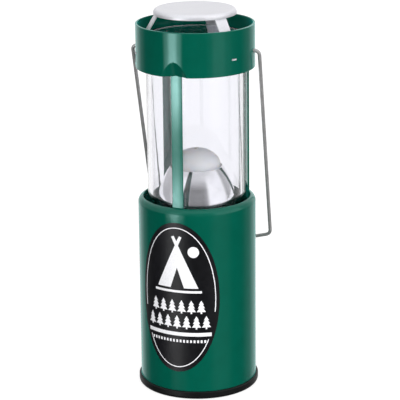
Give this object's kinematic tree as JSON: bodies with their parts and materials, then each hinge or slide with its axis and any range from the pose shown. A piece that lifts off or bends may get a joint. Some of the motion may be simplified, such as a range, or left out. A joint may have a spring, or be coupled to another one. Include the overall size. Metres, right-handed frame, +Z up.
{
  "type": "candle lantern",
  "caption": "Collapsible candle lantern: painted base tube, sliding frame with glass chimney, heat shield and wire bail, and a pull-out spring-fed candle cartridge.",
  "frame": {"origin": "on the lantern's axis, in the plane of the underside that it stands on", "axes": "+Z up along the lantern's axis; the label and one frame post face -Y and a little towards -X; the bail's pivot axis lies in the horizontal plane 15.7 degrees from +X towards -Y, and the bail hangs on the +Y side"},
  "size_m": [0.0596, 0.0579, 0.1638],
  "materials": {
    "green_paint": "glossy baked enamel on aluminium",
    "black_plastic": "fine matte moulding texture",
    "label_vinyl": "semi-gloss printed vinyl",
    "clear_glass": "clear drawn tube, fire-polished rims",
    "satin_aluminium": "satin pressed sheet",
    "steel_wire": "drawn wire",
    "spun_aluminium": "bright spun and polished",
    "spring_steel": "drawn wire",
    "plated_steel": "bright tin plate",
    "wax": "smooth cast wax",
    "cotton": "braided, waxed"
  },
  "bodies": {
    "base": {"base_tube": "green_paint", "foot_ring": "black_plastic", "label": "label_vinyl"},
    "upper_frame": {"slide_frame": "green_paint", "glass_chimney": "clear_glass", "heat_shield_cap": "satin_aluminium", "heat_shield_leg_1": "satin_aluminium", "heat_shield_leg_2": "satin_aluminium", "heat_shield_leg_3": "satin_aluminium"},
    "bail": {"bail": "steel_wire"},
    "cartridge": {"candle_tube": "spun_aluminium", "feed_spring": "spring_steel"},
    "twist_base": {"twist_base": "black_plastic"},
    "candle_stack": {"candle": "wax", "wick_sustainer": "plated_steel", "wick": "cotton", "follower": "plated_steel"}
  },
  "joints": [
    {"name": "frame_slide", "type": "slide", "parent": "base", "child": "upper_frame", "axis": [0, 0, 1], "range_m": [-0.0553, 0]},
    {"name": "bail_swing", "type": "hinge", "parent": "upper_frame", "child": "bail", "pos_m": [0, 0, 0.1469], "axis": [0.9627, -0.2706, 0], "range_deg": [0, 327.4]},
    {"name": "cartridge_slide", "type": "slide", "parent": "base", "child": "cartridge", "axis": [0, 0, -1], "range_m": [0, 0.105]},
    {"name": "base_twist", "type": "hinge", "parent": "cartridge", "child": "twist_base", "pos_m": [0, 0, 0], "axis": [0, 0, 1], "range_deg": [0, 25]},
    {"name": "candle_feed", "type": "slide", "parent": "cartridge", "child": "candle_stack", "axis": [0, 0, 1], "range_m": [-0.0045, 0], "stiffness_N_per_m": 30, "springref_m": 0.06, "deforming": ["feed_spring"]}
  ]
}
